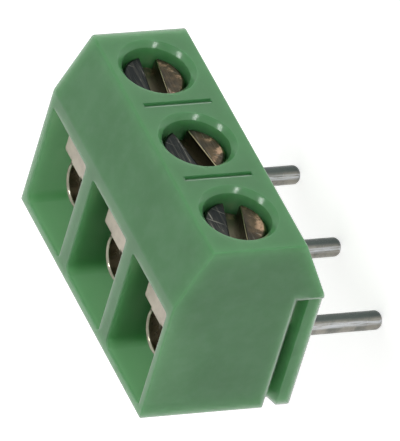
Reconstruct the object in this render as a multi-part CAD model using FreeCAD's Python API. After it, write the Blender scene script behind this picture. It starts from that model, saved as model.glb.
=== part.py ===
# Green PCB screw terminal with three poles, 5 mm pitch. The wires enter on the side away from the board
# and the screws are reached from the side. Units are millimetres. X runs along the row of poles, the
# screws face -Y, and +Z points up from the board. The origin is on the middle solder pin's axis, in the
# plane of the board.
import FreeCAD, Part
import math
import os

# The row of poles.
poles = 3
pitch = 5.0

# The housing's section, seen from the end: a six-sided bar with a narrower screw face between two slopes.
housing_height = 7.5
back_y = 2.5
board_face_front_y = -4.15
wire_face_front_y = -4.15
screw_face_y = -7.3
land_above_hole = 0.4
land_below_hole = 0.55
long_edge_round = 0.1
end_edge_bevel = 0.08

# A deep wire pocket in the wire face at each pole. The clamp body's cavity opens into its floor.
pocket_width = 4.1
pocket_back_wall = 0.45
pocket_front_y = -3.4
pocket_depth = 2.3
pocket_corner = 0.15

# The clamp body: a tall block around the screw, a foot towards the board, and a round spout that stands in
# the pocket, with the mouth of the wire bore below the wire face.
body_width = 3.0
body_back_y = 1.5
body_front_y = -3.55
tall_part_length = 3.5
foot_front_y = -1.8
foot_end_z = 0.3
body_bevel = 0.12
cavity_clearance = 0.05
spout_length = 0.6
spout_wall = 0.15
bore_mouth_depth = 1.1
bore_radius = 0.95
bore_y = -0.43
bore_length = 3.8
bore_mouth_rim = 0.03

# The screw: a slotted head sunk in its hole, a shank in the clamp body's tapped hole and a short plain tip.
screw_below_body_top = 1.7
head_radius = 1.45
head_height = 1.5
head_recess = 0.6
head_bevel = 0.18
head_hole_clearance = 0.15
hole_lip_round = 0.25
shank_radius = 0.96
thread_clearance = 0.04
thread_end_bevel = 0.1
slot_width = 0.8
slot_depth = 0.7
slot_turns_deg = (-14.0, 9.0, -8.0)
tip_radius = 0.65
tip_length = 0.4
tip_bevel = 0.1

# The wire guard: a bent leaf with a flap that stands in the pocket and a tongue that lies in the top of
# the bore.
guard_thickness = 0.22
guard_bend_radius = 0.12
guard_gap = 0.05
flap_width = 2.8
flap_front_gap = 0.2
flap_corner = 0.2
bend_relief = 0.1
tongue_width = 1.1
tongue_side_clearance = 0.05
tongue_above_bore_axis = 0.77
tongue_end_gap = 0.35

# The solder pin. Its thicker root is pressed into the clamp body's foot and ends in a shoulder above the
# board.
pin_radius = 0.45
pin_length = 4.9
pin_dome_height = 0.3
pin_root_radius = 0.65
pin_shoulder_z = 0.1
wall_over_pin_root = 0.6

# The stacking groove in the one end face and the stacking rib on the other, both close to the board.
groove_top_z = 1.41
groove_mouth_low_z = 0.66
groove_floor_low_z = 1.12
groove_depth = 0.7
groove_front_wall = 0.15
land_setback = 0.15
rib_reach = 0.6
rib_clearance = 0.08

# Thin engraved lines on the screw face, halfway between neighbouring screws.
line_length = 3.3
line_width = 0.26
line_depth = 0.12

# How far a cut runs past the face that it opens, how closely an edge must match to be picked, and the share
# of a round's radius that a curve's handles take to follow a quarter circle.
overcut = 1.0
match = 1e-4
quarter_circle_handle = 0.5523

# Places worked out from the sizes above.
row_length = poles * pitch
pole_xs = [pitch * (index - (poles - 1) / 2) for index in range(poles)]
pocket_floor_z = housing_height - pocket_depth
bore_mouth_z = housing_height - bore_mouth_depth
body_top_z = bore_mouth_z - spout_length
cavity_top_z = body_top_z + cavity_clearance
tall_part_end_z = body_top_z - tall_part_length
screw_z = body_top_z - screw_below_body_top
hole_radius = head_radius + head_hole_clearance
screw_face_low_z = screw_z - hole_radius - hole_lip_round - land_below_hole
screw_face_high_z = screw_z + hole_radius + hole_lip_round + land_above_hole
spout_radius = bore_radius + spout_wall
bore_mouth_bevel = spout_wall - bore_mouth_rim
bore_end_z = bore_mouth_z - bore_length
pin_root_end_z = bore_end_z - wall_over_pin_root
tongue_end_z = bore_end_z + tongue_end_gap
tongue_back_y = bore_y - tongue_above_bore_axis
tongue_front_y = tongue_back_y - guard_thickness
flap_front_y = pocket_front_y + flap_front_gap
flap_back_z = bore_mouth_z + guard_gap
flap_face_z = flap_back_z + guard_thickness
head_top_y = screw_face_y + head_recess
head_seat_y = head_top_y + head_height
tip_end_y = tongue_front_y - guard_gap
thread_end_y = tip_end_y - tip_length
groove_front_y = board_face_front_y + groove_front_wall

# Directions along the row, across it towards the flat back, and up from the board.
X = FreeCAD.Vector(1, 0, 0)
Y = FreeCAD.Vector(0, 1, 0)
Z = FreeCAD.Vector(0, 0, 1)


def point(x, y, z):
    return FreeCAD.Vector(x, y, z)


def block(centre_x, width, y0, y1, z0, z1):
    """A plain block centred on a pole, or on another place along the row."""
    return Part.makeBox(width, y1 - y0, z1 - z0, point(centre_x - width / 2, y0, z0))


def rod_along_y(radius, x, z, y0, y1):
    return Part.makeCylinder(radius, y1 - y0, point(x, y0, z), Y)


def rod_along_z(radius, x, y, z0, z1):
    return Part.makeCylinder(radius, z1 - z0, point(x, y, z0), Z)


def extruded(corners, direction, length):
    """A straight piece with the given closed outline, extruded along a direction."""
    face = Part.Face(Part.makePolygon(corners + corners[:1]))
    return face.extrude(direction * length)


def edges_along(shape, direction):
    """The straight edges of a shape that run along a direction."""
    found = []
    for edge in shape.Edges:
        if isinstance(edge.Curve, Part.Line):
            if edge.Curve.Direction.cross(direction).Length < match:
                found.append(edge)
    return found


def circles_at(shape, radius, axis, level):
    """The round edges with one radius whose centre lies at one level along an axis."""
    found = []
    for edge in shape.Edges:
        if isinstance(edge.Curve, Part.Circle):
            same_radius = abs(edge.Curve.Radius - radius) < match
            same_level = abs(edge.Curve.Center.dot(axis) - level) < match
            if same_radius and same_level:
                found.append(edge)
    return found


def edges_near(shape, middle):
    """The edges whose middle is at a place."""
    return [edge for edge in shape.Edges if edge.CenterOfMass.isEqual(middle, match)]


def housing_bar():
    """The six-sided bar, its long edges rounded and its end outlines bevelled."""
    outline = [
        (back_y, 0),
        (board_face_front_y, 0),
        (screw_face_y, screw_face_low_z),
        (screw_face_y, screw_face_high_z),
        (wire_face_front_y, housing_height),
        (back_y, housing_height),
    ]
    corners = [point(-row_length / 2, y, z) for y, z in outline]
    bar = extruded(corners, X, row_length)
    bar = bar.makeFillet(long_edge_round, edges_along(bar, X))
    end_outlines = [edge for edge in bar.Edges if edge.BoundBox.XLength < match]
    return bar.makeChamfer(end_edge_bevel, end_outlines)


def wire_pocket(x):
    """The pocket that the wire goes in through, with rounded corners."""
    back = back_y - pocket_back_wall
    top = housing_height + overcut
    hollow = block(x, pocket_width, pocket_front_y, back, pocket_floor_z, top)
    return hollow.makeFillet(pocket_corner, edges_along(hollow, Z))


def body_cavity(x):
    """The cavity for the clamp body, open at the board face and into the pocket. Its top in front of the
    pocket holds the body down."""
    width = body_width + 2 * cavity_clearance
    front = body_front_y - cavity_clearance
    back = body_back_y + cavity_clearance
    return block(x, width, front, back, -overcut, cavity_top_z)


def screw_hole(x):
    """The round hole from the screw face to the cavity, as a turned tool that rounds the hole's lip too."""
    lip_radius = hole_radius + hole_lip_round
    lip_end_y = screw_face_y + hole_lip_round
    outside_y = screw_face_y - overcut
    cavity_front = body_front_y - cavity_clearance
    handle = hole_lip_round * quarter_circle_handle
    lip = Part.BezierCurve()
    lip.setPoles([
        point(x + lip_radius, screw_face_y, screw_z),
        point(x + lip_radius - handle, screw_face_y, screw_z),
        point(x + hole_radius, lip_end_y - handle, screw_z),
        point(x + hole_radius, lip_end_y, screw_z),
    ])
    rest_of_outline = Part.makePolygon([
        point(x + hole_radius, lip_end_y, screw_z),
        point(x + hole_radius, cavity_front, screw_z),
        point(x, cavity_front, screw_z),
        point(x, outside_y, screw_z),
        point(x + lip_radius, outside_y, screw_z),
        point(x + lip_radius, screw_face_y, screw_z),
    ])
    face = Part.Face(Part.Wire([lip.toShape()] + rest_of_outline.Edges))
    return face.revolve(point(x, 0, screw_z), Y, 360)


def engraved_line(x):
    """A shallow straight line on the screw face, pointing from the wire side to the board."""
    low = screw_z - line_length / 2
    front = screw_face_y - overcut
    return block(x, line_width, front, screw_face_y + line_depth, low, low + line_length)


def stacking_groove():
    """The hooked groove in the -X end face and the land beside it, which is set back a little."""
    end = -row_length / 2
    outline = [
        (end - overcut, groove_top_z),
        (end + groove_depth, groove_top_z),
        (end + groove_depth, groove_floor_low_z),
        (end + land_setback, groove_mouth_low_z),
        (end + land_setback, -overcut),
        (end - overcut, -overcut),
    ]
    corners = [point(x, groove_front_y, z) for x, z in outline]
    return extruded(corners, Y, back_y + overcut - groove_front_y)


def stacking_rib():
    """The rib on the +X end face that slides into the next block's groove."""
    end = row_length / 2
    slope = (groove_floor_low_z - groove_mouth_low_z) / (groove_depth - land_setback)
    low_z = groove_mouth_low_z - slope * land_setback + rib_clearance * math.hypot(1, slope)
    root = end - end_edge_bevel
    high_z = groove_top_z - rib_clearance
    outline = [
        (root, low_z - slope * end_edge_bevel),
        (end + rib_reach, low_z + slope * rib_reach),
        (end + rib_reach, high_z),
        (root, high_z),
    ]
    front = groove_front_y + rib_clearance
    back = back_y - long_edge_round
    corners = [point(x, front, z) for x, z in outline]
    return extruded(corners, Y, back - front)


def housing():
    """The one-piece moulding that holds all poles."""
    body = housing_bar().fuse(stacking_rib())
    cuts = [stacking_groove()]
    for x in pole_xs:
        cuts += [wire_pocket(x), body_cavity(x), screw_hole(x)]
    for x in pole_xs[1:]:
        cuts.append(engraved_line(x - pitch / 2))
    return body.cut(cuts).removeSplitter()


def clamp_body(x):
    """The metal body of one pole: profiled block, spout, wire bore, tapped hole and pin hole."""
    outline = [
        (body_back_y, foot_end_z),
        (foot_front_y, foot_end_z),
        (foot_front_y, tall_part_end_z),
        (body_front_y, tall_part_end_z),
        (body_front_y, body_top_z),
        (body_back_y, body_top_z),
    ]
    corners = [point(x - body_width / 2, y, z) for y, z in outline]
    body = extruded(corners, X, body_width)
    body = body.makeChamfer(body_bevel, edges_along(body, X))
    body = body.fuse(rod_along_z(spout_radius, x, bore_y, body_top_z, bore_mouth_z))
    above = bore_mouth_z + overcut
    bore = rod_along_z(bore_radius, x, bore_y, bore_end_z, above)
    tapped = rod_along_y(shank_radius + thread_clearance, x, screw_z, body_front_y - overcut, bore_y)
    pin_hole = rod_along_z(pin_root_radius, x, 0, foot_end_z - overcut, pin_root_end_z)
    slot_width_in_bore = tongue_width + 2 * tongue_side_clearance
    slot_end = tongue_end_z - guard_gap
    slot = block(x, slot_width_in_bore, tip_end_y, bore_y, slot_end, body_top_z)
    spout_front = bore_y - spout_radius - overcut
    spout_slot = block(x, slot_width_in_bore, spout_front, bore_y, body_top_z, above)
    body = body.cut([bore, tapped, pin_hole, slot, spout_slot]).removeSplitter()
    mouth = circles_at(body, bore_radius, Z, bore_mouth_z)
    return body.makeChamfer(bore_mouth_bevel, mouth)


def screw(x, slot_turn_deg):
    """A clamp screw turned on its axis, with its slot across the head."""
    profile = [
        (0, head_top_y),
        (head_radius - head_bevel, head_top_y),
        (head_radius, head_top_y + head_bevel),
        (head_radius, head_seat_y),
        (shank_radius, head_seat_y),
        (shank_radius, thread_end_y - thread_end_bevel),
        (shank_radius - thread_end_bevel, thread_end_y),
        (tip_radius, thread_end_y),
        (tip_radius, tip_end_y - tip_bevel),
        (tip_radius - tip_bevel, tip_end_y),
        (0, tip_end_y),
    ]
    corners = [point(x + radius, y, screw_z) for radius, y in profile]
    face = Part.Face(Part.makePolygon(corners + corners[:1]))
    turned = face.revolve(point(x, 0, screw_z), Y, 360)
    slot_length = 2 * (head_radius + overcut)
    slot_floor_y = head_top_y + slot_depth
    slot_low_z = screw_z - slot_width / 2
    slot = block(x, slot_length, head_top_y - overcut, slot_floor_y, slot_low_z, slot_low_z + slot_width)
    slot.rotate(point(x, 0, screw_z), Y, -slot_turn_deg)
    return turned.cut(slot)


def wire_guard(x):
    """One bent leaf: the flap across the pocket, the bend, and the tongue under the screw's tip."""
    outer_bend = guard_bend_radius + guard_thickness
    flap = block(x, flap_width, flap_front_y, tongue_back_y, flap_back_z, flap_face_z)
    flap = flap.makeFillet(flap_corner, edges_along(flap, Z))
    relief_width = tongue_width + 2 * bend_relief
    relief_front = tongue_back_y - outer_bend
    relief_back = tongue_back_y + overcut
    relief = block(x, relief_width, relief_front, relief_back, flap_back_z - overcut, flap_face_z + overcut)
    outline = [
        (tongue_back_y, tongue_end_z),
        (tongue_back_y, flap_face_z),
        (flap_front_y + flap_corner, flap_face_z),
        (flap_front_y + flap_corner, flap_back_z),
        (tongue_front_y, flap_back_z),
        (tongue_front_y, tongue_end_z),
    ]
    corners = [point(x - tongue_width / 2, y, z) for y, z in outline]
    strip = extruded(corners, X, tongue_width)
    outer_corner = point(x, tongue_back_y, flap_face_z)
    strip = strip.makeFillet(outer_bend, edges_near(strip, outer_corner))
    inner_corner = point(x, tongue_front_y, flap_back_z)
    strip = strip.makeFillet(guard_bend_radius, edges_near(strip, inner_corner))
    return flap.cut(relief).fuse(strip).removeSplitter()


def solder_pin(x):
    """A stepped round pin whose free end is a dome, the cap of a larger sphere."""
    dome_start_z = pin_dome_height - pin_length
    sphere_radius = (pin_radius ** 2 + pin_dome_height ** 2) / (2 * pin_dome_height)
    root = rod_along_z(pin_root_radius, x, 0, pin_shoulder_z, pin_root_end_z)
    rod = rod_along_z(pin_radius, x, 0, dome_start_z, pin_shoulder_z)
    sphere = Part.makeSphere(sphere_radius, point(x, 0, sphere_radius - pin_length))
    cap = sphere.common(rod_along_z(pin_radius, x, 0, -pin_length - overcut, dome_start_z))
    return root.fuse([rod, cap]).removeSplitter()


def save(shape, name):
    """Write one piece as a STEP file named after its node."""
    solid = shape.Solids[0]
    solid.exportStep("parts/" + name + ".step")


def main():
    os.makedirs("parts", exist_ok=True)
    save(housing(), "housing")
    for number, x in enumerate(pole_xs, start=1):
        save(clamp_body(x), "clamp_body_" + str(number))
        save(screw(x, slot_turns_deg[(number - 1) % len(slot_turns_deg)]), "screw_" + str(number))
        save(wire_guard(x), "wire_guard_" + str(number))
        save(solder_pin(x), "solder_pin_" + str(number))


main()
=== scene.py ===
"""A green three-pole screw terminal for a circuit board: its pieces, finishes, stage and camera.

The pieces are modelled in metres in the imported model's frame: X along the row of poles, the screws facing -Y,
+Z up from the board.
"""

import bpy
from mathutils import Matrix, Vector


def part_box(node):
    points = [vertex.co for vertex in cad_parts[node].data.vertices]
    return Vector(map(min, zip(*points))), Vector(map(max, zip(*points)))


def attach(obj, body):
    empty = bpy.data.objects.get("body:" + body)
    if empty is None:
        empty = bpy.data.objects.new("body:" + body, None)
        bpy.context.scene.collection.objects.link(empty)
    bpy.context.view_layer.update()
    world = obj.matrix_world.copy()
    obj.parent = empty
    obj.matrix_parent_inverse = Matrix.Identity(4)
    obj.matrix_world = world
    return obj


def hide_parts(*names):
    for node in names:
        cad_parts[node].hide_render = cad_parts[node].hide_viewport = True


bl_info = {
    "name": "Screw Terminal",
    "version": (1, 0, 0),
    "blender": (4, 5, 0),
    "location": "3D View > Sidebar > Screw Terminal",
    "description": "Models a three-pole screw terminal for a circuit board, with its finishes and stage",
    "category": "Object",
}

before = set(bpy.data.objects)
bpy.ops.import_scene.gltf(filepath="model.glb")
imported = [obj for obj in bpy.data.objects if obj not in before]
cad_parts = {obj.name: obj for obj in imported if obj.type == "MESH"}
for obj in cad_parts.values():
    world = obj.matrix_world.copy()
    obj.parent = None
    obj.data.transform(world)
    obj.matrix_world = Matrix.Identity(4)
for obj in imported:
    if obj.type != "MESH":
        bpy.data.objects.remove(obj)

import math

import bmesh
import bpy
from bpy.props import FloatProperty, FloatVectorProperty, PointerProperty
from mathutils import Matrix, Vector

mm = 0.001
near = 0.002 * mm
merge_distance = 0.0005 * mm
white = (1.0, 1.0, 1.0, 1.0)
poles = 3
pitch = 5.0 * mm
pole_numbers = range(1, poles + 1)

housing_low, housing_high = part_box("housing")
body_low, body_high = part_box("clamp_body_2")
screw_low, screw_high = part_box("screw_2")
guard_low, guard_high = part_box("wire_guard_2")
pin_low, pin_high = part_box("solder_pin_2")

# The moulding's section, its openings and the bores inside.
row_end = -housing_low.x
screw_face_y = housing_low.y
back_y = housing_high.y
wire_face_z = housing_high.z
slope_start_y = -4.15 * mm
screw_z = 4.1 * mm
hole_radius = 1.6 * mm
screw_face_low_z = 1.7 * mm
screw_face_high_z = 6.35 * mm
pocket_floor_z = 5.2 * mm
bore_mouth_z = body_high.z
pocket_half_width = 2.05 * mm
pocket_front_y = -3.4 * mm
pocket_back_y = 2.05 * mm
cavity_half_width = 1.55 * mm
cavity_clearance = 0.05 * mm
cavity_top_z = 5.85 * mm
bore_y = -0.43 * mm
bore_radius = 0.95 * mm
spout_radius = 1.1 * mm
pin_root_radius = 0.65 * mm
overcut = 1.0 * mm

X = Vector((1, 0, 0))
Y = Vector((0, 1, 0))
Z = Vector((0, 0, 1))


def pole_x(number):
    """Where a pole stands along the row."""
    return (number - (poles + 1) / 2) * pitch


# Modelling: short ways to do in code what a hand would do in the viewport.


def select_only(piece):
    """Make one piece the only selected and the active one."""
    bpy.ops.object.select_all(action="DESELECT")
    piece.select_set(True)
    bpy.context.view_layer.objects.active = piece


def apply_place(piece, name):
    """Name a new primitive and move its place and size into its mesh."""
    select_only(piece)
    bpy.ops.object.transform_apply(location=True, rotation=True, scale=True)
    piece.name = name
    piece.data.name = name
    return piece


def add_box(name, low, high):
    """A box between two corners, to be shaped further."""
    low, high = Vector(low), Vector(high)
    bpy.ops.object.select_all(action="DESELECT")
    bpy.ops.mesh.primitive_cube_add(size=1, location=(low + high) / 2, scale=high - low)
    return apply_place(bpy.context.object, name)


def add_rod(name, radius, start, end, segments=64):
    """A round rod between two points along Y or Z, to be shaped further."""
    start, end = Vector(start), Vector(end)
    along = end - start
    turn = along.to_track_quat("Z", "X").to_euler()
    bpy.ops.object.select_all(action="DESELECT")
    bpy.ops.mesh.primitive_cylinder_add(
        vertices=segments, radius=radius, depth=along.length, location=(start + end) / 2, rotation=turn)
    return apply_place(bpy.context.object, name)


class Editing:
    """Edit mode on one piece, for the length of a with block."""

    def __init__(self, piece, mode="EDGE"):
        self.piece = piece
        self.mode = mode

    def __enter__(self):
        select_only(self.piece)
        bpy.ops.object.mode_set(mode="EDIT")
        bpy.ops.mesh.select_mode(type=self.mode)
        bpy.ops.mesh.select_all(action="DESELECT")
        return self

    def __exit__(self, kind, value, trace):
        bpy.ops.object.mode_set(mode="OBJECT")

    def pick_all(self):
        bpy.ops.mesh.select_all(action="SELECT")

    def pick(self, test):
        """Select what passes a test."""
        bpy.ops.mesh.select_mode(type=self.mode)
        bpy.ops.mesh.select_all(action="DESELECT")
        mesh = bmesh.from_edit_mesh(self.piece.data)
        mesh.normal_update()
        parts = {"VERT": mesh.verts, "EDGE": mesh.edges, "FACE": mesh.faces}[self.mode]
        found = [part for part in parts if test(part)]
        for part in found:
            part.select_set(True)
        mesh.select_flush_mode()
        bmesh.update_edit_mesh(self.piece.data)
        if not found:
            raise RuntimeError(self.piece.name + ": nothing was picked")

    def bevel(self, test, width, segments, material=-1, profile=0.5):
        """Round the edges that pass a test."""
        self.pick(test)
        bpy.ops.mesh.bevel(
            offset_type="OFFSET", offset=width, segments=segments, profile=profile, affect="EDGES",
            clamp_overlap=False, material=material, miter_outer="ARC", loop_slide=True)


def middle(edge):
    """The middle of an edge."""
    return (edge.verts[0].co + edge.verts[1].co) / 2


def runs_along(edge, axis):
    """Whether an edge is parallel to an axis."""
    along = edge.verts[1].co - edge.verts[0].co
    return along.cross(axis).length < 0.02 * along.length


def is_sharp(edge, degrees=25):
    """Whether the faces at an edge meet at more than an angle."""
    return len(edge.link_faces) == 2 and edge.calc_face_angle(0) > math.radians(degrees)


def on_circle(edge, centre, axis, radius):
    """Whether both ends of an edge are on a circle."""
    for vertex in edge.verts:
        away = vertex.co - centre
        if abs(away.dot(axis)) > near or abs(away.length - radius) > near:
            return False
    return True


def extrude(*step):
    """Draw the selected faces out by a step."""
    bpy.ops.mesh.extrude_region_move(TRANSFORM_OT_translate={"value": step})


def apply_modifier(piece, kind, **values):
    """Add a modifier to a piece, set it and apply it."""
    select_only(piece)
    modifier = piece.modifiers.new(kind.lower(), kind)
    for name, value in values.items():
        setattr(modifier, name, value)
    bpy.ops.object.modifier_apply(modifier=modifier.name)


def carve(piece, cutter, operation="DIFFERENCE"):
    """Cut a cutter out of a piece, or add it, and remove the cutter."""
    apply_modifier(piece, "BOOLEAN", operation=operation, solver="EXACT", object=cutter)
    bpy.data.objects.remove(cutter)


def clean(piece):
    """Merge doubled vertices, join what lies in one plane, and turn all faces outwards."""
    with Editing(piece, "VERT") as edit:
        edit.pick_all()
        bpy.ops.mesh.remove_doubles(threshold=merge_distance)
        bpy.ops.mesh.dissolve_limited(angle_limit=math.radians(0.2))
        edit.pick_all()
        bpy.ops.mesh.normals_make_consistent(inside=False)


def finish_surface(piece, degrees=32):
    """Smooth the rounds and keep the flat faces flat."""
    select_only(piece)
    bpy.ops.object.shade_smooth_by_angle(angle=math.radians(degrees))
    apply_modifier(piece, "WEIGHTED_NORMAL", keep_sharp=True, weight=100)


def place(piece, body, node, material_list):
    """Give a finished piece its body, the node it stands for and its finishes."""
    materials = piece.data.materials
    for index, material in enumerate(material_list):
        if index < len(materials):
            materials[index] = material
        else:
            materials.append(material)
    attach(piece, body)
    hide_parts(node)


def seat_copies(piece, stem, body, node_stem, material_list, turns_deg=None):
    """Copy a piece and its mesh to every pole, place the copies and remove the first."""
    for number in pole_numbers:
        copy = piece.copy()
        copy.data = piece.data.copy()
        copy.name = copy.data.name = stem + str(number)
        copy.data.transform(Matrix.Translation(X * pole_x(number)))
        bpy.context.scene.collection.objects.link(copy)
        if turns_deg:
            turn = Matrix.Rotation(-math.radians(turns_deg[number - 1]), 4, "Y")
            centre = Matrix.Translation((pole_x(number), 0, screw_z))
            copy.data.transform(centre @ turn @ centre.inverted())
        own_body = body if body == "block" else body + str(number)
        place(copy, own_body, node_stem + str(number), material_list)
    bpy.data.objects.remove(piece)


# Finishes: the shared patterns and one material for each surface.


class Wiring:
    """Short ways to add and join nodes in one tree."""

    def __init__(self, tree):
        self.nodes = tree.nodes
        self.links = tree.links

    def add(self, kind, sockets=None, **settings):
        """Add a node, set it, and feed its inputs, which go by name or number."""
        node = self.nodes.new(kind)
        for name, value in settings.items():
            setattr(node, name, value)
        for name, value in (sockets or {}).items():
            self.feed(value, node.inputs[name])
        return node

    def feed(self, value, socket):
        """Join another node's output to a socket, or set the socket's own value."""
        if isinstance(value, bpy.types.NodeSocket):
            self.links.new(value, socket)
        else:
            socket.default_value = value

    def noise(self, vector, scale, detail, roughness):
        node = self.add("ShaderNodeTexNoise", {
            "Vector": vector, "Scale": scale, "Detail": detail, "Roughness": roughness})
        return node.outputs["Fac"]

    def math(self, operation, first, second=0.0):
        return self.add("ShaderNodeMath", {0: first, 1: second}, operation=operation).outputs[0]

    def times(self, first, *others):
        """Multiply two or more values."""
        for other in others:
            first = self.math("MULTIPLY", first, other)
        return first

    def spread(self, value, low, high, to_low=0.0, to_high=1.0):
        """Map a value smoothly from one range to another, and no further."""
        node = self.add("ShaderNodeMapRange", interpolation_type="SMOOTHSTEP")
        for socket, given in zip(("Value", "From Min", "From Max", "To Min", "To Max"),
                                 (value, low, high, to_low, to_high)):
            self.feed(given, node.inputs[socket])
        return node.outputs["Result"]

    def mix(self, share, first, second):
        """Mix two colours."""
        node = self.add("ShaderNodeMix", data_type="RGBA")
        for socket, given in zip(("Factor", "A", "B"), (share, first, second)):
            self.feed(given, node.inputs[socket])
        return node.outputs["Result"]

    def mix_shaders(self, share, first, second):
        """Mix the shaders of two nodes."""
        return self.add("ShaderNodeMixShader", {
            0: share, 1: first.outputs[0], 2: second.outputs[0]}).outputs[0]

    def group(self, tree, values):
        """Add a node group and set or join its inputs."""
        node = self.add("ShaderNodeGroup", node_tree=tree)
        for label, value in values.items():
            self.feed(value, node.inputs[label])
        return node.outputs


def new_group(name, inputs, outputs):
    """A node group with named sockets, its wiring, what it is given and what it makes."""
    group = bpy.data.node_groups.new(name, "ShaderNodeTree")
    for label, value in inputs.items():
        kind = "NodeSocketFloat" if isinstance(value, float) else "NodeSocketVector"
        socket = group.interface.new_socket(label, in_out="INPUT", socket_type=kind)
        if value:
            socket.default_value = value
    for label in outputs:
        group.interface.new_socket(label, in_out="OUTPUT", socket_type="NodeSocketFloat")
    wires = Wiring(group)
    return group, wires, wires.add("NodeGroupInput").outputs, wires.add("NodeGroupOutput").inputs


def moulded_grain_group(name):
    """Mottled colour and fine grain of moulded plastic."""
    group, wires, given, made = new_group(
        name, {"Vector": None, "Cloud Scale": 300.0, "Grain Scale": 9000.0}, ("Cloud", "Grain", "Rub"))
    cloud = wires.noise(given["Vector"], given["Cloud Scale"], detail=4.0, roughness=0.55)
    grain = wires.noise(given["Vector"], given["Grain Scale"], detail=3.0, roughness=0.6)
    rub = wires.noise(given["Vector"], wires.times(given["Cloud Scale"], 4.0), detail=3.0, roughness=0.6)
    wires.feed(wires.spread(cloud, 0.3, 0.7), made["Cloud"])
    wires.feed(grain, made["Grain"])
    wires.feed(wires.spread(rub, 0.35, 0.75), made["Rub"])
    return group


def metal_marks_group(name):
    """Drawn or rolled streaks, a cloudy tarnish and specks."""
    group, wires, given, made = new_group(
        name, {"Vector": None, "Streak Scale": 20000.0, "Tarnish Scale": 1200.0, "Stretch": (1.0, 1.0, 0.06)},
        ("Streak", "Tarnish", "Speck"))
    stretched = wires.add("ShaderNodeVectorMath", {0: given["Vector"], 1: given["Stretch"]},
                          operation="MULTIPLY").outputs[0]
    streak = wires.noise(stretched, given["Streak Scale"], detail=3.0, roughness=0.6)
    tarnish = wires.noise(given["Vector"], given["Tarnish Scale"], detail=4.0, roughness=0.6)
    speck = wires.noise(given["Vector"], wires.times(given["Tarnish Scale"], 6.0), detail=2.0, roughness=0.5)
    wires.feed(streak, made["Streak"])
    wires.feed(wires.spread(tarnish, 0.35, 0.7), made["Tarnish"])
    wires.feed(wires.spread(speck, 0.55, 0.72), made["Speck"])
    return group


patterns = {"Moulded Grain": moulded_grain_group, "Metal Marks": metal_marks_group}


class Finish:
    """A material with one Principled shader and one shared pattern on object coordinates."""

    def __init__(self, name, pattern, values, roughness=0.5, metallic=0.0):
        self.material = bpy.data.materials.new(name)
        self.material.use_nodes = True
        self.wires = Wiring(self.material.node_tree)
        self.shader = self.material.node_tree.nodes["Principled BSDF"]
        self.shader.inputs["Roughness"].default_value = roughness
        self.shader.inputs["Metallic"].default_value = metallic
        self.place = self.wires.add("ShaderNodeTexCoord").outputs["Object"]
        self.group = bpy.data.node_groups.get(pattern) or patterns[pattern](pattern)
        self.outputs = self.wires.group(self.group, {"Vector": self.place, **values})

    def out(self, label):
        return self.outputs[label]

    def parts(self):
        """The X, Y and Z of a place on the object."""
        return self.wires.add("ShaderNodeSeparateXYZ", {"Vector": self.place}).outputs

    def show(self, colour, roughness):
        self.wires.feed(colour, self.shader.inputs["Base Color"])
        self.wires.feed(roughness, self.shader.inputs["Roughness"])

    def bump(self, height, distance):
        node = self.wires.add("ShaderNodeBump", {"Height": height, "Strength": 1.0, "Distance": distance})
        self.wires.feed(node.outputs["Normal"], self.shader.inputs["Normal"])


def across_pole(wires, x):
    """How far a place is from the middle of its own pole, along the row."""
    return wires.add("ShaderNodeMath", {0: x, 1: pitch / 2, 2: -pitch / 2}, operation="WRAP").outputs[0]


def pocket_light_mask(finish):
    """1 on the walls and floors of the wire pockets, where a lighter green is painted in as light, 0 elsewhere.
    """
    wires, parts = finish.wires, finish.parts()
    far, close = 0.08 * mm, 0.02 * mm
    mask = wires.spread(wires.math("ABSOLUTE", across_pole(wires, parts["X"])),
                        pocket_half_width + far, pocket_half_width + close)
    for part, outside, inside in (("Z", wire_face_z - close, wire_face_z - 0.2 * mm),
                                  ("Z", pocket_floor_z - 0.3 * mm, pocket_floor_z - 0.05 * mm),
                                  ("Y", pocket_front_y - far, pocket_front_y - close),
                                  ("Y", pocket_back_y + far, pocket_back_y + close)):
        mask = wires.times(mask, wires.spread(parts[part], outside, inside))
    return mask


def line_shade_mask(finish):
    """1 in the engraved lines between the screw holes, where a darker green is painted in as shade, 0
    elsewhere.
    """
    wires, parts = finish.wires, finish.parts()
    from_line = wires.math("ABSOLUTE", wires.math("SUBTRACT", wires.math("ABSOLUTE", parts["X"]), pitch / 2))
    from_middle = wires.math("ABSOLUTE", wires.math("SUBTRACT", parts["Z"], screw_z))
    return wires.times(wires.spread(from_line, 0.18 * mm, 0.11 * mm),
                       wires.spread(from_middle, 1.74 * mm, 1.66 * mm),
                       wires.spread(parts["Y"], screw_face_y + 0.5 * mm, screw_face_y + 0.3 * mm))


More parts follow.
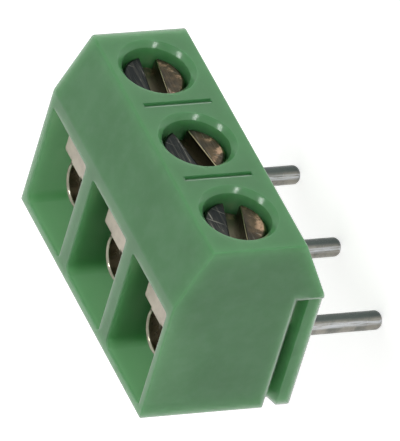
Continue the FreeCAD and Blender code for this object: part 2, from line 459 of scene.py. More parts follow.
def moulding_finish(settings):
    """Semi-matt green plastic that lets a little light into it, with painted shade on the screw face and in the
    engraved lines and painted light on the pocket walls and floors.
    """
    rubbed_share, face_shade_share, coat_weight = 0.12, 0.6, 0.5
    finish = Finish("green moulding", "Moulded Grain", {})
    wires, shader = finish.wires, finish.shader
    colour = wires.mix(finish.out("Cloud"), settings.colour_deep, settings.colour)
    colour = wires.mix(wires.times(finish.out("Rub"), rubbed_share), colour, settings.colour_rubbed_and_highlight)
    # Painted shade: the screw face is coloured a darker green than the rest of the moulding.
    shade_on_screw_face = wires.spread(finish.parts()["Y"], screw_face_y + 0.3 * mm, screw_face_y)
    colour = wires.mix(wires.times(shade_on_screw_face, face_shade_share), colour, settings.colour_screw_face_shade)
    # Painted light: the pocket walls and floors get a lighter green, standing in for light through the thin
    # walls.
    colour = wires.mix(pocket_light_mask(finish), colour, settings.colour_pocket_light)
    # Painted shade: the engraved lines get a darker green, and they lose the coat.
    line_shade = line_shade_mask(finish)
    colour = wires.mix(line_shade, colour, settings.colour_line_shade)
    finish.show(colour, wires.spread(finish.out("Rub"), 0.0, 1.0, 0.3, 0.4))
    wires.feed(wires.times(wires.math("SUBTRACT", 1.0, line_shade), coat_weight), shader.inputs["Coat Weight"])
    for label, value in {"Specular IOR Level": 0.1, "Coat Roughness": 0.15, "Subsurface Weight": 1.0,
                         "Subsurface Radius": (0.85, 1.0, 0.85), "Subsurface Scale": 3.2 * mm}.items():
        shader.inputs[label].default_value = value
    finish.bump(finish.out("Grain"), distance=0.0025 * mm)
    return finish.material


def plate_finish(settings):
    """Matt, lightly tarnished tin plate on rolled sheet."""
    values = {"Stretch": (0.08, 1.0, 1.0), "Streak Scale": 14000.0}
    finish = Finish("guard plating", "Metal Marks", values, metallic=0.6)
    colour = finish.wires.mix(finish.out("Tarnish"), settings.colour, settings.colour_tarnish_and_reflection)
    finish.show(colour, finish.wires.spread(finish.out("Streak"), 0.3, 0.7, 0.5, 0.62))
    finish.bump(finish.out("Streak"), distance=0.003 * mm)
    return finish.material


def clamp_finish(settings):
    """Bright plating with a yellow cast, matt inside the bore, with painted light: a lighter colour deep in the
    bore.
    """
    values = {"Streak Scale": 12000.0}
    finish = Finish("clamp plating", "Metal Marks", values, metallic=1.0)
    wires = finish.wires
    colour = wires.mix(finish.out("Tarnish"), settings.colour, settings.colour_tarnish_and_reflection)
    # Painted light: the plating is coloured lighter deep in the bore; the same share also makes it rougher
    # there.
    inside = wires.spread(finish.parts()["Z"], bore_mouth_z - 1.2 * mm, bore_mouth_z - 0.15 * mm, 1.0, 0.0)
    colour = wires.mix(inside, colour, settings.colour_bore_light)
    outside_roughness = wires.spread(finish.out("Tarnish"), 0.0, 1.0, 0.14, 0.26)
    rougher_inside = wires.times(inside, 0.4)
    finish.show(colour, wires.math("ADD", outside_roughness, rougher_inside))
    finish.bump(finish.out("Streak"), distance=0.001 * mm)
    return finish.material


def crossing_streaks(finish):
    """The streaks of a second pattern group, turned across those of the first."""
    turned = finish.wires.add("ShaderNodeMapping", {
        "Vector": finish.place, "Rotation": (0.0, math.radians(50), 0.0)}).outputs["Vector"]
    values = {"Vector": turned, "Stretch": (0.05, 1.0, 1.0), "Streak Scale": 7000.0}
    return finish.wires.group(finish.group, values)["Streak"]


def screw_finish(settings):
    """Dark steel with turning marks and scratches, a brown painted reflection on the head's low side, painted
    coppery glints near its rim there and painted light inside the slot.
    """
    values = {"Stretch": (0.07, 1.0, 1.0), "Streak Scale": 9000.0}
    finish = Finish("screw steel", "Metal Marks", values, metallic=1.0)
    wires, parts = finish.wires, finish.parts()
    across = across_pole(wires, parts["X"])
    up = wires.math("SUBTRACT", parts["Z"], screw_z)
    radius = wires.math("SQRT", wires.math("ADD", wires.times(across, across), wires.times(up, up)))
    # Painted reflection: the head's low side is coloured brown in patches.
    reflection_side = wires.spread(up, 0.4 * mm, -1.0 * mm)
    patchy = wires.spread(finish.out("Tarnish"), 0.0, 1.0, 0.35, 1.0)
    scratched = wires.spread(finish.out("Streak"), 0.42, 0.66)
    scored = wires.math("MAXIMUM", wires.spread(finish.out("Streak"), 0.63, 0.7),
                        wires.spread(crossing_streaks(finish), 0.63, 0.69))
    # Painted light: the steel inside the slot is coloured lighter than the head.
    in_slot = wires.spread(parts["Y"], screw_low.y + 0.1 * mm, screw_low.y + 0.3 * mm)
    # Painted glints: coppery specks on the rim of the head's low side.
    rim = wires.times(wires.spread(radius, 0.8 * mm, 1.15 * mm), reflection_side)
    specks = wires.spread(finish.out("Tarnish"), 0.45, 0.9, 0.0, 0.75)
    colour = settings.colour
    for share, other in ((scratched, settings.colour_scratched),
                         (wires.times(reflection_side, patchy), settings.colour_brown_reflection_and_tarnish),
                         (wires.times(scored, 0.8), settings.colour_scored),
                         (in_slot, settings.colour_slot_light),
                         (wires.times(rim, specks), settings.colour_painted_glint)):
        colour = wires.mix(share, colour, other)
    finish.show(colour, wires.spread(finish.out("Speck"), 0.0, 1.0, 0.3, 0.5))
    mark_spacing, mark_height = 0.09 * mm, 0.3
    turned = wires.math("SINE", wires.times(radius, 2 * math.pi / mark_spacing))
    finish.bump(wires.math("ADD", wires.times(turned, mark_height), finish.out("Streak")),
                distance=0.004 * mm)
    return finish.material


def worn_and_highlight_finish(settings):
    """Bare bright steel where a screwdriver has rubbed the slot's edges, which also serves as a painted
    highlight along them.
    """
    finish = Finish("rubbed steel and painted highlight", "Metal Marks", {}, metallic=1.0)
    dull = finish.wires.times(finish.out("Tarnish"), 0.35)
    # Partly real wear and partly a painted highlight: bright steel on the slot's edges, with patches of brown
    # tarnish.
    colour = finish.wires.mix(dull, settings.colour_rubbed_and_highlight, settings.colour_brown_reflection_and_tarnish)
    finish.show(colour, finish.wires.spread(finish.out("Speck"), 0.0, 1.0, 0.25, 0.4))
    finish.bump(finish.out("Streak"), distance=0.001 * mm)
    return finish.material


def pin_finish(settings):
    """Tinned drawn wire: streaks along the pin, dull blue-grey clouds, a painted highlight stripe and a painted
    dark reflection along one side.
    """
    values = {"Stretch": (1.0, 1.0, 0.05), "Streak Scale": 16000.0, "Tarnish Scale": 1500.0}
    finish = Finish("tinned wire", "Metal Marks", values, metallic=1.0)
    wires, parts = finish.wires, finish.parts()
    side = wires.math("SUBTRACT", across_pole(wires, parts["X"]), parts["Y"])
    # Painted highlight: a bright stripe along one side of each pin.
    stripe = wires.times(wires.spread(side, -0.4 * mm, -0.2 * mm), wires.spread(side, 0.1 * mm, -0.1 * mm),
                         wires.spread(finish.out("Streak"), 0.35, 0.6))
    # Painted reflection: the side of each pin beyond the stripe is darker; elsewhere the dull tin is real
    # tarnish in clouds.
    colour = settings.colour
    for share, other in ((wires.times(finish.out("Tarnish"), 0.6), settings.colour_tarnish_and_reflection),
                         (stripe, settings.colour_painted_highlight),
                         (wires.spread(side, 0.0, 0.3 * mm), settings.colour_tarnish_and_reflection)):
        colour = wires.mix(share, colour, other)
    finish.show(colour, wires.spread(finish.out("Tarnish"), 0.0, 1.0, 0.2, 0.36))
    finish.bump(wires.math("ADD", finish.out("Streak"), wires.times(finish.out("Speck"), 0.6)),
                distance=0.006 * mm)
    return finish.material


# Settings, which the panel shows.


def length(name, description, default):
    return FloatProperty(name=name, description=description, default=default, min=0.0, precision=5,
                         subtype="DISTANCE", unit="LENGTH")


def colour(name, description, *default):
    return FloatVectorProperty(name=name, description=description, default=(*default, 1.0), size=4,
                               min=0.0, max=1.0, subtype="COLOR")


class MouldingSettings(bpy.types.PropertyGroup):
    long_edge_round: length("Long edge round", "Radius of the rounds along the row", 0.1 * mm)
    end_edge_round: length("End edge round", "Width of the rounds at the two end faces", 0.08 * mm)
    lip_round: length("Hole lip round", "Width of the lips of the screw holes", 0.25 * mm)
    pocket_corner_round: length("Pocket corner round", "Radius of most of the pockets' corners", 0.15 * mm)
    far_corner_round: length("Far corner round", "Radius of the corner that shows in each pocket", 0.42 * mm)
    small_round: length("Small round", "Radius of the rounds on the pockets' rims", 0.06 * mm)
    line_rim_round: length("Line rim round", "Radius of the rounds on the lines' rims", 0.03 * mm)
    colour: colour("Green", "Colour of the moulding", 0.08, 0.228, 0.093)
    colour_deep: colour("Deep green", "Colour of the moulding's darker clouds", 0.066, 0.205, 0.077)
    # Real wear only, at random places on the moulding.
    colour_rubbed_and_highlight: colour("Rubbed green", "Colour of rubbed places", 0.17, 0.32, 0.19)
    # Painted shade: the darker green of the screw face.
    colour_screw_face_shade: colour("Screw face green", "Colour of the screw face", 0.05, 0.185, 0.062)
    # Painted light: the lighter green of the pocket walls and floors.
    colour_pocket_light: colour("Pocket green", "Colour of the thin walls in the pockets", 0.105, 0.28, 0.118)
    # Painted shade: the darker green inside the engraved lines.
    colour_line_shade: colour("Line green", "Colour in the engraved lines", 0.04, 0.15, 0.052)


class ClampSettings(bpy.types.PropertyGroup):
    edge_round: length("Edge round", "Radius of the clamp body's edges", 0.1 * mm)
    mouth_round: length("Mouth round", "Radius of the bore's rim", 0.11 * mm)
    colour: colour("Plating", "Colour of the plating", 0.36, 0.35, 0.27)
    # Real tarnish only, in random clouds.
    colour_tarnish_and_reflection: colour("Tarnish", "Colour of the dull clouds", 0.24, 0.23, 0.17)
    # Painted light: the lighter colour deep in the bore.
    colour_bore_light: colour("Bore", "Colour of the plating deep in the bore", 0.55, 0.5, 0.4)


class ScrewSettings(bpy.types.PropertyGroup):
    slot_width: length("Slot width", "Width of the screwdriver slot", 0.8 * mm)
    slot_depth: length("Slot depth", "Depth of the screwdriver slot", 0.7 * mm)
    slot_edge_round: length("Slot edge round", "Width of the rubbed edges of the slot", 0.055 * mm)
    head_round: length("Head round", "Radius of the head's outer edge", 0.18 * mm)
    thread_pitch: length("Thread pitch", "Advance of the thread in one turn", 0.4 * mm)
    thread_depth: length("Thread depth", "Depth of the thread", 0.2 * mm)
    colour: colour("Steel", "Colour of the dark steel", 0.014, 0.017, 0.017)
    colour_scratched: colour("Scratched steel", "Colour of the fine scratches", 0.042, 0.043, 0.038)
    # Painted light: the lighter colour inside the slot.
    colour_slot_light: colour("Slot steel", "Colour of the steel inside the slot", 0.12, 0.11, 0.075)
    colour_scored: colour("Scored steel", "Colour of the deepest scratches", 0.2, 0.2, 0.17)
    # Painted glints: the coppery specks near the head's rim.
    colour_painted_glint: colour("Coppery specks", "Colour of the specks near the rim", 0.5, 0.33, 0.22)
    # A painted brown reflection on the screw heads' low side, and real tarnish in patches on the rubbed slot
    # edges.
    colour_brown_reflection_and_tarnish: colour("Browned steel", "Colour of the browned steel", 0.11, 0.08, 0.045)
    # Partly real wear and partly a painted highlight on the slot's edges.
    colour_rubbed_and_highlight: colour("Rubbed steel", "Colour of the rubbed slot edges", 0.36, 0.33, 0.2)


class GuardSettings(bpy.types.PropertyGroup):
    edge_round: length("Edge round", "Radius of the sheet's stamped edges", 0.03 * mm)
    corner_round: length("Corner round", "Radius of the flap's corners", 0.2 * mm)
    outer_bend: length("Outer bend", "Radius outside the bend", 0.34 * mm)
    inner_bend: length("Inner bend", "Radius inside the bend", 0.12 * mm)
    colour: colour("Plate", "Colour of the clean plate", 0.62, 0.56, 0.47)
    # Real tarnish only, in random clouds.
    colour_tarnish_and_reflection: colour("Dull plate", "Colour of the dull plate", 0.5, 0.45, 0.38)


class PinSettings(bpy.types.PropertyGroup):
    tip_round: length("Tip round", "Radius of the rounded tip", 0.3 * mm)
    colour: colour("Tin", "Colour of the tin", 0.27, 0.255, 0.225)
    # Painted highlight: the bright stripe along each pin.
    colour_painted_highlight: colour("Bright tin", "Colour of the bright stripe", 0.5, 0.51, 0.53)
    # Real tarnish in random clouds, and also a painted dark reflection along one side of each pin.
    colour_tarnish_and_reflection: colour("Dull tin", "Colour of the dull tin", 0.08, 0.095, 0.09)


def strength(name, description, default, **kind):
    return FloatProperty(name=name, description=description, default=default, min=0.0, **kind)


class StageSettings(bpy.types.PropertyGroup):
    floor_size: length("Floor size", "Width of the floor", 3.0)
    floor_colour: colour("Floor colour", "Colour of the pale floor", 0.93, 0.93, 0.93)
    floor_glow: strength("Floor glow", "White that the floor shows besides its light", 0.65, subtype="FACTOR")
    ambient: strength("Ambient", "Strength of the room's soft light", 0.46, subtype="FACTOR")
    key_power: strength("Key power", "Power of the high soft lamp", 1.2, unit="POWER")
    fill_power: strength("Fill power", "Power of the side soft lamp", 0.25, unit="POWER")


# Operators: one for the stage and one for each kind of piece.


def prism_cutter(name, x, half_width, y0, y1, z0, z1):
    """A box to both sides of a place along the row."""
    return add_box(name, (x - half_width, y0, z0), (x + half_width, y1, z1))


def pocket_cutter(x, settings):
    """The deep wire pocket with its rounded corners, the far one rounder."""
    def is_corner(edge, far):
        at = middle(edge)
        return runs_along(edge, Z) and far == (at.x > x and at.y > pocket_front_y + near)

    cutter = prism_cutter("pocket", x, pocket_half_width, pocket_front_y, pocket_back_y,
                          pocket_floor_z, wire_face_z + overcut)
    with Editing(cutter) as edit:
        edit.bevel(lambda edge: is_corner(edge, True), settings.far_corner_round, 8)
        edit.bevel(lambda edge: is_corner(edge, False), settings.pocket_corner_round, 4)
    return cutter


def line_cutter(x):
    """A shallow engraved line with a rounded floor."""
    half_width, depth, floor_round = 0.105 * mm, 0.15 * mm, 0.07 * mm
    cutter = prism_cutter("line", x, half_width, screw_face_y - 0.5 * mm, screw_face_y + depth,
                          2.45 * mm, 5.75 * mm)
    with Editing(cutter) as edit:
        edit.bevel(lambda edge: middle(edge).y > screw_face_y, floor_round, 3)
    return cutter


def groove_cutter():
    """The hooked stacking groove and the land beside it, which is set back a little."""
    end = -row_end
    depth, high_z, front_y = 0.7 * mm, 1.41 * mm, -4.0 * mm
    land_depth, land_high_z, hook = 0.15 * mm, 0.66 * mm, (-0.3 * mm, 0, 0.21 * mm)
    cutter = add_box("groove", (end - overcut, front_y, -overcut), (end + depth, back_y + overcut, high_z))
    land = add_box("groove land", (end + land_depth, front_y - overcut, -2 * overcut),
                   (end + overcut, back_y + 2 * overcut, land_high_z))
    with Editing(land) as edit:
        edit.pick(lambda edge: runs_along(edge, Y) and middle(edge).z > 0
                  and middle(edge).x > end + overcut / 2)
        bpy.ops.transform.translate(value=hook)
    carve(cutter, land)
    return cutter


def stacking_rib(settings):
    """The hooked rib on the far end face."""
    root, front_y, hook_drop = 0.4 * mm, -3.92 * mm, 0.85 * mm
    low_z, high_z = 1.2 * mm, 1.33 * mm
    rib = add_box("rib", (row_end - root, front_y, low_z),
                  (housing_high.x, back_y - settings.long_edge_round, high_z))
    with Editing(rib) as edit:
        edit.pick(lambda edge: runs_along(edge, Y) and middle(edge).z < (low_z + high_z) / 2
                  and middle(edge).x < row_end)
        bpy.ops.transform.translate(value=(0, 0, -hook_drop))
    return rib


class MESH_OT_terminal_moulding(bpy.types.Operator):
    """Model the green moulding with its pockets, screw holes, cavities and stacking profile"""
    bl_idname = "mesh.terminal_moulding"
    bl_label = "Model the Moulding"
    bl_options = {"REGISTER", "UNDO"}

    def execute(self, context):
        settings = context.scene.terminal_moulding
        piece = add_box("moulding", (-row_end, screw_face_y, 0), (row_end, back_y, wire_face_z))
        with Editing(piece) as edit:
            for z_end, z_face in ((wire_face_z, screw_face_high_z), (0.0, screw_face_low_z)):
                along = Vector((0, slope_start_y - screw_face_y, z_end - z_face))
                outward = X.cross(along) if z_end > z_face else along.cross(X)
                edit.pick_all()
                bpy.ops.mesh.bisect(plane_co=(0, screw_face_y, z_face), plane_no=outward.normalized(),
                                    use_fill=True, clear_outer=True)
            edit.bevel(lambda edge: runs_along(edge, X), settings.long_edge_round, 5)
            edit.bevel(lambda edge: abs(abs(middle(edge).x) - row_end) < near and is_sharp(edge),
                       settings.end_edge_round, 3)
        carve(piece, stacking_rib(settings), "UNION")
        carve(piece, groove_cutter())
        for number in pole_numbers:
            x = pole_x(number)
            carve(piece, pocket_cutter(x, settings))
            carve(piece, prism_cutter("cavity", x, cavity_half_width, body_low.y - cavity_clearance,
                                      body_high.y + cavity_clearance, -overcut, cavity_top_z))
            carve(piece, add_rod("screw hole", hole_radius, (x, screw_face_y - overcut, screw_z),
                                 (x, body_low.y, screw_z), 96))
        for x in (-pitch / 2, pitch / 2):
            carve(piece, line_cutter(x))
        clean(piece)
        with Editing(piece) as edit:
            for number in pole_numbers:
                centre = Vector((pole_x(number), screw_face_y, screw_z))
                edit.bevel(lambda edge: on_circle(edge, centre, Y, hole_radius),
                           settings.lip_round, 6, profile=0.28)
            edit.bevel(self.is_pocket_rim, settings.small_round, 3)
            edit.bevel(self.is_line_rim, settings.line_rim_round, 2)
        finish_surface(piece)
        place(piece, "block", "housing", [moulding_finish(settings)])
        return {"FINISHED"}

    @staticmethod
    def is_pocket_rim(edge):
        return is_sharp(edge, 35) and abs(middle(edge).z - wire_face_z) < near

    @staticmethod
    def is_line_rim(edge):
        at = middle(edge)
        at_line = abs(at.y - screw_face_y) < near and abs(abs(at.x) - pitch / 2) < 0.2 * mm
        return at_line and is_sharp(edge, 35)


class MESH_OT_terminal_clamps(bpy.types.Operator):
    """Model the plated clamp bodies with their bore, tapped hole and slot"""
    bl_idname = "mesh.terminal_clamps"
    bl_label = "Model the Clamp Bodies"
    bl_options = {"REGISTER", "UNDO"}

    def execute(self, context):
        settings = context.scene.terminal_clamp
        finish = clamp_finish(settings)
        spout_start_z, bore_end_z, shoulder_z = 5.0 * mm, 2.6 * mm, 5.8 * mm
        step_y, step_z, tapped_radius = -1.8 * mm, 2.3 * mm, 1.0 * mm
        slot_half_width, slot_front_y, slot_low_z = 0.6 * mm, -1.47 * mm, 2.9 * mm
        spout_slot_front_y = -2.6 * mm
        piece = add_box("clamp", body_low, (body_high.x, body_high.y, shoulder_z))
        carve(piece, add_box("step", body_low - Vector((overcut,) * 3),
                             (body_high.x + overcut, step_y, step_z)))
        with Editing(piece) as edit:
            edit.bevel(lambda edge: runs_along(edge, X) and is_sharp(edge), settings.edge_round, 4)
        mouth = (0, bore_y, bore_mouth_z)
        carve(piece, add_rod("spout", spout_radius, (0, bore_y, spout_start_z), mouth), "UNION")
        for cutter in (
                add_rod("bore", bore_radius, (0, bore_y, bore_end_z), (0, bore_y, bore_mouth_z + overcut)),
                add_rod("tapped hole", tapped_radius, (0, body_low.y - overcut, screw_z),
                        (0, bore_y, screw_z)),
                add_rod("pin hole", pin_root_radius, (0, 0, body_low.z - overcut), (0, 0, 2.0 * mm)),
                prism_cutter("slot", 0, slot_half_width, slot_front_y, bore_y, slot_low_z, shoulder_z),
                prism_cutter("spout slot", 0, slot_half_width, spout_slot_front_y, bore_y,
                             shoulder_z, bore_mouth_z + overcut)):
            carve(piece, cutter)
        clean(piece)
        with Editing(piece) as edit:
            edit.bevel(lambda edge: on_circle(edge, Vector(mouth), Z, bore_radius), settings.mouth_round, 4)
        finish_surface(piece)
        seat_copies(piece, "clamp_", "block", "clamp_body_", [finish])
        return {"FINISHED"}


class MESH_OT_terminal_screws(bpy.types.Operator):
    """Model the slotted clamp screws with their threads"""
    bl_idname = "mesh.terminal_screws"
    bl_label = "Model the Screws"
    bl_options = {"REGISTER", "UNDO"}

    slot_turns_deg = (-14.0, 9.0, -8.0)
    head_seat_y = -5.2 * mm
    head_radius = 1.45 * mm
    core_radius = 0.78 * mm
    core_taper = 0.72 / 0.78
    core_end_y = -1.87 * mm
    chamfer = 0.1 * mm
    tip_step = 0.07 * mm
    tip_taper = 0.55 / 0.65
    tip_length = 0.3 * mm

    def execute(self, context):
        settings = context.scene.terminal_screw
        finishes = [screw_finish(settings), worn_and_highlight_finish(settings)]
        head_top = Vector((0, screw_low.y, screw_z))
        piece = add_rod("screw", self.head_radius, head_top, (0, self.head_seat_y, screw_z), 96)
        for finish in finishes:
            piece.data.materials.append(finish)
        with Editing(piece, "FACE") as edit:
            edit.pick(lambda face: face.normal.y > 0.9)
            bpy.ops.mesh.inset(thickness=self.head_radius - self.core_radius)
            extrude(0, self.core_end_y - self.chamfer - self.head_seat_y, 0)
            extrude(0, self.chamfer, 0)
            self.narrow(self.core_taper, self.core_end_y)
            bpy.ops.mesh.inset(thickness=self.tip_step)
            extrude(0, self.tip_length, 0)
            extrude(0, self.chamfer, 0)
            self.narrow(self.tip_taper, screw_high.y)
        with Editing(piece) as edit:
            edit.bevel(lambda edge: on_circle(edge, head_top, Y, self.head_radius), settings.head_round, 4)
        half_slot = settings.slot_width / 2
        slot = add_box("slot", (-2 * mm, head_top.y - overcut, screw_z - half_slot),
                       (2 * mm, head_top.y + settings.slot_depth, screw_z + half_slot))
        carve(piece, slot)
        with Editing(piece) as edit:
            # The slot's edges take the rubbed steel, which is partly real wear and partly a painted highlight.
            edit.bevel(lambda edge: self.is_slot_edge(edge, half_slot),
                       settings.slot_edge_round, 1, material=1)
        carve(piece, self.add_thread(settings, self.head_seat_y + 0.1 * mm), "UNION")
        finish_surface(piece)
        seat_copies(piece, "screw_turned_", "clamp_screw_", "screw_", finishes,
                    self.slot_turns_deg)
        return {"FINISHED"}

    @staticmethod
    def add_thread(settings, start_y):
        """The helical ridge round the shank, from a flat profile swept round and along the screw."""
        crest = 0.96 * mm
        inside = crest - settings.thread_depth - 0.05 * mm
        turns, steps_in_turn, root_share, crest_share = 7, 24, 0.94, 0.12
        profile_y = start_y + settings.thread_pitch / 2
        bpy.ops.object.select_all(action="DESELECT")
        bpy.ops.mesh.primitive_plane_add(size=1, location=((inside + crest) / 2, profile_y, 0))
        ridge = bpy.context.object
        ridge.scale = (crest - inside, settings.thread_pitch * root_share, 1)
        apply_place(ridge, "thread")
        with Editing(ridge) as edit:
            edit.pick(lambda edge: middle(edge).x > crest - near)
            bpy.ops.transform.resize(value=(1, crest_share, 1), center_override=(crest, profile_y, 0))
        apply_modifier(ridge, "SCREW", axis="Y", angle=2 * math.pi, screw_offset=settings.thread_pitch,
                       iterations=turns, steps=steps_in_turn, render_steps=steps_in_turn)
        with Editing(ridge, "VERT") as edit:
            edit.pick_all()
            bpy.ops.mesh.remove_doubles(threshold=merge_distance)
            edit.pick_all()
            bpy.ops.mesh.fill_holes(sides=8)
            edit.pick_all()
            bpy.ops.mesh.normals_make_consistent(inside=False)
            bpy.ops.transform.translate(value=(0, 0, screw_z))
        return ridge

    @staticmethod
    def narrow(share, y):
        """Scale the selected face about the screw's axis."""
        bpy.ops.transform.resize(value=(share,) * 3, center_override=(0, y, screw_z))

    @staticmethod
    def is_slot_edge(edge, half_slot):
        at = middle(edge)
        on_top = abs(at.y - screw_low.y) < 0.3 * mm
        beside = abs(abs(at.z - screw_z) - half_slot) < near
        return on_top and beside and is_sharp(edge)


class MESH_OT_terminal_guards(bpy.types.Operator):
    """Model the bent wire guards"""
    bl_idname = "mesh.terminal_guards"
    bl_label = "Model the Wire Guards"
    bl_options = {"REGISTER", "UNDO"}

    def execute(self, context):
        settings = context.scene.terminal_guard
        finish = plate_finish(settings)
        thickness, back, tongue_half_width = 0.22 * mm, -1.2 * mm, 0.55 * mm
        flap_low_z = guard_high.z - thickness

        def is_bend(edge, y, above):
            at = middle(edge)
            high = at.z > flap_low_z + near if above else abs(at.z - flap_low_z) < near
            return runs_along(edge, X) and abs(at.y - y) < near and high

        piece = add_box("guard", (guard_low.x, guard_low.y, flap_low_z), (guard_high.x, back, guard_high.z))
        with Editing(piece) as edit:
            edit.bevel(lambda edge: runs_along(edge, Z), settings.corner_round, 5)
        bend = add_box("bend", (guard_low.x - overcut, guard_low.y - overcut, flap_low_z - overcut),
                       (guard_high.x + overcut, back, guard_high.z))
        with Editing(bend) as edit:
            edit.bevel(lambda edge: is_bend(edge, back, True), settings.outer_bend, 6)
        carve(piece, bend, "INTERSECT")
        strip = add_box("strip", (-tongue_half_width, guard_low.y + 0.3 * mm, flap_low_z),
                        (tongue_half_width, back, guard_high.z))
        with Editing(strip, "FACE") as edit:
            edit.pick_all()
            bpy.ops.mesh.bisect(plane_co=(0, back - thickness, 0), plane_no=Y)
            edit.pick(lambda face: face.normal.z < -0.9 and face.calc_center_median().y > back - thickness)
            extrude(0, 0, guard_low.z - flap_low_z)
        with Editing(strip) as edit:
            edit.bevel(lambda edge: is_bend(edge, back, True), settings.outer_bend, 6)
            edit.bevel(lambda edge: is_bend(edge, back - thickness, False), settings.inner_bend, 6)
        carve(piece, strip, "UNION")
        clean(piece)
        with Editing(piece) as edit:
            edit.bevel(lambda edge: is_sharp(edge, 40), settings.edge_round, 2)
        finish_surface(piece)
        seat_copies(piece, "guard_leaf_", "guard_", "wire_guard_", [finish])
        return {"FINISHED"}


class MESH_OT_terminal_pins(bpy.types.Operator):
    """Model the solder pins"""
    bl_idname = "mesh.terminal_pins"
    bl_label = "Model the Pins"
    bl_options = {"REGISTER", "UNDO"}

    def execute(self, context):
        settings = context.scene.terminal_pin
        finish = pin_finish(settings)
        shoulder_z, wire_radius = 0.1 * mm, 0.45 * mm
        piece = add_rod("pin", pin_root_radius, (0, 0, shoulder_z), (0, 0, pin_high.z))
        with Editing(piece, "FACE") as edit:
            edit.pick(lambda face: face.normal.z < -0.9)
            bpy.ops.mesh.inset(thickness=pin_root_radius - wire_radius)
            extrude(0, 0, pin_low.z - shoulder_z)
        with Editing(piece) as edit:
            centre = Vector((0, 0, pin_low.z))
            edit.bevel(lambda edge: on_circle(edge, centre, Z, wire_radius), settings.tip_round, 8)
        finish_surface(piece, 50)
        seat_copies(piece, "pin_wire_", "block", "solder_pin_", [finish])
        return {"FINISHED"}


def add_soft_lamp(name, towards, distance, width, height, power, target):
    """A rectangular area lamp that shines at a target from one direction."""
    towards = Vector(towards).normalized()
    bpy.ops.object.light_add(type="AREA", location=target + towards * distance)
    lamp = bpy.context.object
    lamp.name = name
    lamp.data.shape = "RECTANGLE"
    lamp.data.size = width
    lamp.data.size_y = height
    lamp.data.energy = power
    lamp.rotation_euler = towards.to_track_quat("Z", "Y").to_euler()


def seen_directly(wires):
    """1 for rays from the camera, in reflections and through clear things, 0 for the rest."""
    path = wires.add("ShaderNodeLightPath").outputs
    return wires.math("MAXIMUM", path["Is Camera Ray"],
                      wires.math("MAXIMUM", path["Is Glossy Ray"], path["Is Transmission Ray"]))


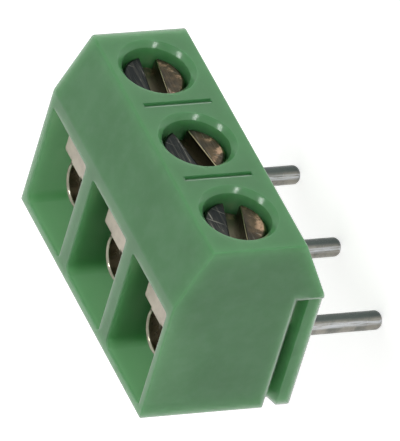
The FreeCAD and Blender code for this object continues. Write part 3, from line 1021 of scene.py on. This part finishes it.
class OBJECT_OT_terminal_stage(bpy.types.Operator):
    """Set the floor, the lamps, the room's light and the camera"""
    bl_idname = "object.terminal_stage"
    bl_label = "Set the Stage"
    bl_options = {"REGISTER", "UNDO"}

    def execute(self, context):
        settings = context.scene.terminal_stage
        floor_gap = 0.02 * mm
        bpy.ops.object.select_all(action="DESELECT")
        bpy.ops.mesh.primitive_plane_add(size=settings.floor_size, location=(0, 0, pin_low.z - floor_gap))
        floor = apply_place(context.object, "floor")
        floor.data.materials.append(self.floor_finish(settings))
        target = Vector((0, -4 * mm, 4 * mm))
        add_soft_lamp("high soft lamp", (0.0, -0.65, 0.76), 0.6, 0.11, 0.2, settings.key_power, target)
        add_soft_lamp("side soft lamp", (-0.647, -0.762, 0.023), 0.3, 0.1, 0.042, settings.fill_power, target)
        self.light_room(context, settings)
        self.set_camera(context)
        context.scene.view_settings.view_transform = "Standard"
        return {"FINISHED"}

    @staticmethod
    def floor_finish(settings):
        """A pale matt floor that looks white where no shadow falls, and can be looked through from below."""
        finish = Finish("pale floor", "Moulded Grain",
                        {"Cloud Scale": 8.0, "Grain Scale": 900.0}, roughness=0.9)
        wires, shader = finish.wires, finish.shader
        shade = tuple(share * 0.99 for share in settings.floor_colour[:3]) + (1.0,)
        wires.feed(wires.mix(finish.out("Cloud"), settings.floor_colour, shade), shader.inputs["Base Color"])
        shader.inputs["Specular IOR Level"].default_value = 0.1
        shader.inputs["Emission Color"].default_value = white
        wires.feed(wires.times(seen_directly(wires), settings.floor_glow), shader.inputs["Emission Strength"])
        below = wires.add("ShaderNodeNewGeometry").outputs["Backfacing"]
        clear = wires.add("ShaderNodeBsdfTransparent")
        surface = finish.material.node_tree.nodes["Material Output"].inputs["Surface"]
        wires.feed(wires.mix_shaders(below, shader, clear), surface)
        return finish.material

    @staticmethod
    def light_room(context, settings):
        """White to the camera and in reflections, and a soft even light on the object."""
        world = bpy.data.worlds.new("studio room")
        context.scene.world = world
        world.use_nodes = True
        world.node_tree.nodes.clear()
        wires = Wiring(world.node_tree)
        plain = wires.add("ShaderNodeBackground", {"Color": white, "Strength": 1.0})
        soft = wires.add("ShaderNodeBackground", {"Color": white, "Strength": settings.ambient})
        surface = wires.add("ShaderNodeOutputWorld").inputs["Surface"]
        wires.feed(wires.mix_shaders(seen_directly(wires), soft, plain), surface)

    @staticmethod
    def set_camera(context):
        """A long lens at the photograph's viewing angle."""
        forward = Vector((0.6588, 0.6195, -0.4269)).normalized()
        right = Vector((-0.3644, -0.2337, -0.9015))
        right = (right - forward * right.dot(forward)).normalized()
        turn = Matrix((right, right.cross(forward), -forward)).transposed().to_4x4()
        focal_pixels, long_side_pixels, sensor_width = 12144.3, 441, 36.0
        bpy.ops.object.camera_add()
        camera = context.object
        camera.name = "product camera"
        camera.matrix_world = Matrix.Translation((-0.3605, -0.3413, 0.2363)) @ turn
        camera.data.sensor_width = sensor_width
        camera.data.lens = focal_pixels / long_side_pixels * sensor_width
        camera.data.clip_start = 0.01
        camera.data.clip_end = 10.0
        context.scene.camera = camera


class VIEW3D_PT_terminal(bpy.types.Panel):
    """The pieces of the screw terminal, with their sizes and colours"""
    bl_idname = "VIEW3D_PT_terminal"
    bl_label = "Screw Terminal"
    bl_space_type = "VIEW_3D"
    bl_region_type = "UI"
    bl_category = "Screw Terminal"

    def draw(self, context):
        for operator, settings_name, settings_class in steps:
            box = self.layout.box()
            box.operator(operator.bl_idname)
            settings = getattr(context.scene, settings_name)
            for field in settings_class.__annotations__:
                box.prop(settings, field)


steps = (
    (OBJECT_OT_terminal_stage, "terminal_stage", StageSettings),
    (MESH_OT_terminal_moulding, "terminal_moulding", MouldingSettings),
    (MESH_OT_terminal_clamps, "terminal_clamp", ClampSettings),
    (MESH_OT_terminal_screws, "terminal_screw", ScrewSettings),
    (MESH_OT_terminal_guards, "terminal_guard", GuardSettings),
    (MESH_OT_terminal_pins, "terminal_pin", PinSettings),
)


def register():
    for operator, settings_name, settings_class in steps:
        bpy.utils.register_class(settings_class)
        setattr(bpy.types.Scene, settings_name, PointerProperty(type=settings_class))
        bpy.utils.register_class(operator)
    bpy.utils.register_class(VIEW3D_PT_terminal)


def unregister():
    bpy.utils.unregister_class(VIEW3D_PT_terminal)
    for operator, settings_name, settings_class in reversed(steps):
        bpy.utils.unregister_class(operator)
        delattr(bpy.types.Scene, settings_name)
        bpy.utils.unregister_class(settings_class)


def main():
    register()
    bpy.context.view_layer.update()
    bpy.ops.object.terminal_stage()
    bpy.ops.mesh.terminal_moulding()
    bpy.ops.mesh.terminal_clamps()
    bpy.ops.mesh.terminal_screws()
    bpy.ops.mesh.terminal_guards()
    bpy.ops.mesh.terminal_pins()


if __name__ == "__main__":
    main()
